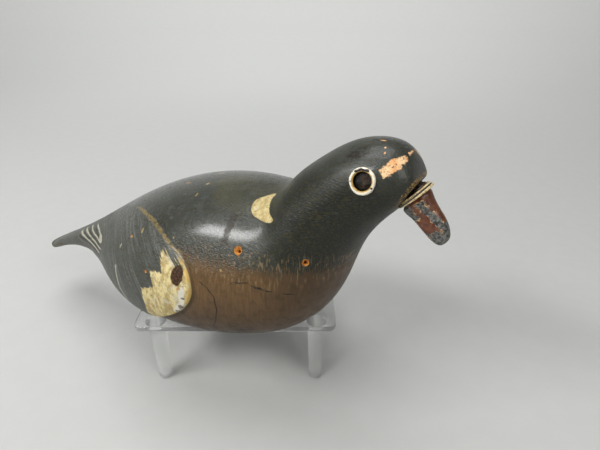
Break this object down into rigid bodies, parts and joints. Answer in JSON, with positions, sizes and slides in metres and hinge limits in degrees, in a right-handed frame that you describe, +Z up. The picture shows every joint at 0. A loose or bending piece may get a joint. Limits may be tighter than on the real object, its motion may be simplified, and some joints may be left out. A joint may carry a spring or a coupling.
{
  "type": "pigeon decoy",
  "caption": "Carved and painted wood-pigeon decoy with ringed bored eyes and a set-in bill, resting on a clear moulded display riser on tapered legs.",
  "frame": {"origin": "middle of the footprint's bounding box, on the floor under the riser's feet", "axes": "+X toward the bird's bill along its length, +Y toward its left side, +Z up"},
  "size_m": [0.3654, 0.1814, 0.2051],
  "materials": {
    "painted_wood_breast": "carved wood in aged oil paint, brown breast with slate-grey back, satin varnish, fine cracks",
    "painted_wood_grey": "carved wood in aged slate-grey oil paint with cream markings, satin varnish, worn spots",
    "eye_ring_paint": "raised ring of off-white paint, yellowed",
    "eye_ball_glass": "dark brown sunken eye, aged gloss",
    "bill_paint": "red-brown paint worn to a dark grey ground, glossy",
    "bill_collar_paint": "cream paint with a dark groove, worn",
    "riser_clear_plastic": "clear moulded plastic, slightly cloudy at the legs"
  },
  "bodies": {
    "root": {"trunk": "painted_wood_breast", "neck": "painted_wood_grey", "head": "painted_wood_grey", "tail": "painted_wood_grey", "wing_left": "painted_wood_grey", "wing_right": "painted_wood_grey", "eye_ring_left": "eye_ring_paint", "eye_ring_right": "eye_ring_paint", "eye_left": "eye_ball_glass", "eye_right": "eye_ball_glass", "bill": "bill_paint", "bill_collar": "bill_collar_paint", "stand_plate": "riser_clear_plastic", "stand_leg_front_left": "riser_clear_plastic", "stand_leg_front_right": "riser_clear_plastic", "stand_leg_rear_left": "riser_clear_plastic", "stand_leg_rear_right": "riser_clear_plastic"}
  },
  "joints": []
}
